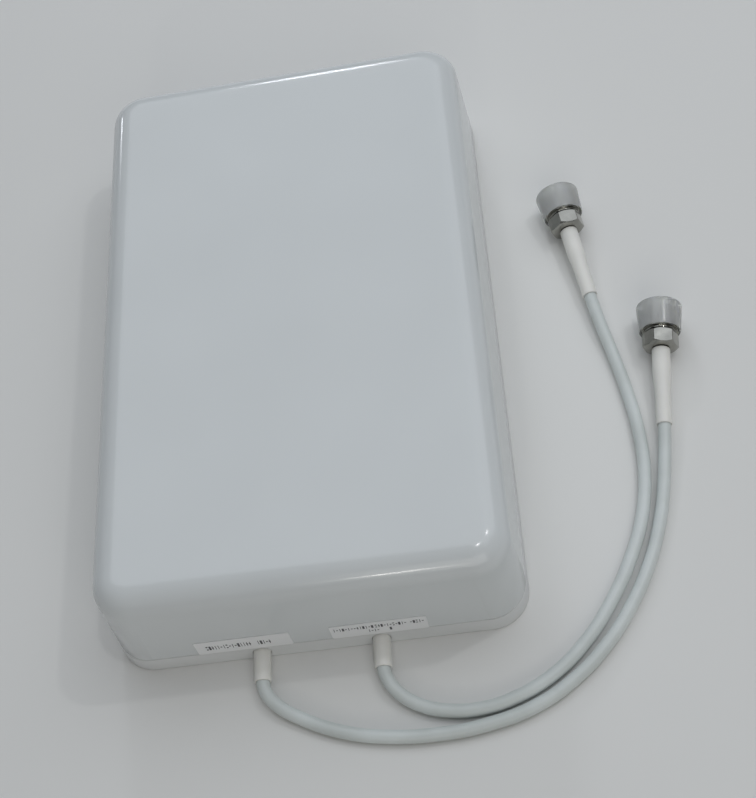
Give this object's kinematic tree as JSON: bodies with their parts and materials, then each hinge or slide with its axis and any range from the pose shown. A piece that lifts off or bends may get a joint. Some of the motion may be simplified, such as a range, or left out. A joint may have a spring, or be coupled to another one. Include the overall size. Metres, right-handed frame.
{
  "type": "indoor panel antenna for a cellular signal booster",
  "caption": "White indoor panel antenna of a cellular signal booster: glossy radome on a flat back cover, coax leads with capped N-type jacks.",
  "frame": {"origin": "centre of the antenna body's flat back, on the surface it lies on", "axes": "+Z out of the radome's front, +Y towards the end opposite the leads, +X to the right seen from the front"},
  "size_m": [0.2357, 0.2976, 0.0523],
  "materials": {
    "abs_gloss_white": "glossy moulded white ABS",
    "abs_satin_white": "satin moulded white ABS",
    "aluminium_sheet": "mill finish",
    "zinc_plated_steel": "zinc plated",
    "nylon_natural": "natural nylon",
    "brass": "turned",
    "ptfe_white": "turned PTFE",
    "pvc_jacket_white": "satin white cable jacket",
    "heat_shrink_white": "matt white heat-shrink tube",
    "label_vinyl": "white printed vinyl",
    "nickel_plate": "bright nickel plate",
    "gold_plate": "gold plate",
    "polyethylene_frosted": "frosted translucent polyethylene"
  },
  "bodies": {
    "antenna": {"back_cover": "abs_satin_white", "cable_saddle_1": "nylon_natural", "cable_saddle_2": "nylon_natural", "cable_saddle_3": "nylon_natural", "coax_tail_1": "pvc_jacket_white", "coax_tail_2": "pvc_jacket_white", "connector_body_1": "nickel_plate", "connector_body_2": "nickel_plate", "connector_contact_1": "gold_plate", "connector_contact_2": "gold_plate", "connector_insulator_1": "ptfe_white", "connector_insulator_2": "ptfe_white", "connector_sleeve_1": "heat_shrink_white", "connector_sleeve_2": "heat_shrink_white", "cord_1": "pvc_jacket_white", "cord_2": "pvc_jacket_white", "cover_screw_1": "zinc_plated_steel", "cover_screw_2": "zinc_plated_steel", "cover_screw_3": "zinc_plated_steel", "cover_screw_4": "zinc_plated_steel", "crimp_ferrule_1": "nickel_plate", "crimp_ferrule_2": "nickel_plate", "exit_collar_1": "heat_shrink_white", "exit_collar_2": "heat_shrink_white", "feed_bush_1": "ptfe_white", "feed_bush_2": "ptfe_white", "feed_pin_1": "brass", "feed_pin_2": "brass", "high_band_director": "aluminium_sheet", "high_band_patch": "aluminium_sheet", "high_director_post": "nylon_natural", "high_patch_spacer_1": "nylon_natural", "high_patch_spacer_2": "nylon_natural", "low_band_director": "aluminium_sheet", "low_band_patch": "aluminium_sheet", "low_director_post": "nylon_natural", "low_patch_spacer_1": "nylon_natural", "low_patch_spacer_2": "nylon_natural", "low_patch_spacer_3": "nylon_natural", "low_patch_spacer_4": "nylon_natural", "port_label_1": "label_vinyl", "port_label_2": "label_vinyl", "radome": "abs_gloss_white", "reflector": "aluminium_sheet", "reflector_screw_1": "zinc_plated_steel", "reflector_screw_2": "zinc_plated_steel", "reflector_screw_3": "zinc_plated_steel", "reflector_screw_4": "zinc_plated_steel"},
    "cap_1": {"connector_cap_1": "polyethylene_frosted"},
    "cap_2": {"connector_cap_2": "polyethylene_frosted"}
  },
  "joints": [
    {"name": "cap_1_pull", "type": "slide", "parent": "antenna", "child": "cap_1", "axis": [0.1164, 0.9908, 0.0698], "range_m": [0, 0.016]},
    {"name": "cap_2_pull", "type": "slide", "parent": "antenna", "child": "cap_2", "axis": [-0.1388, 0.9879, 0.0698], "range_m": [0, 0.016]}
  ]
}
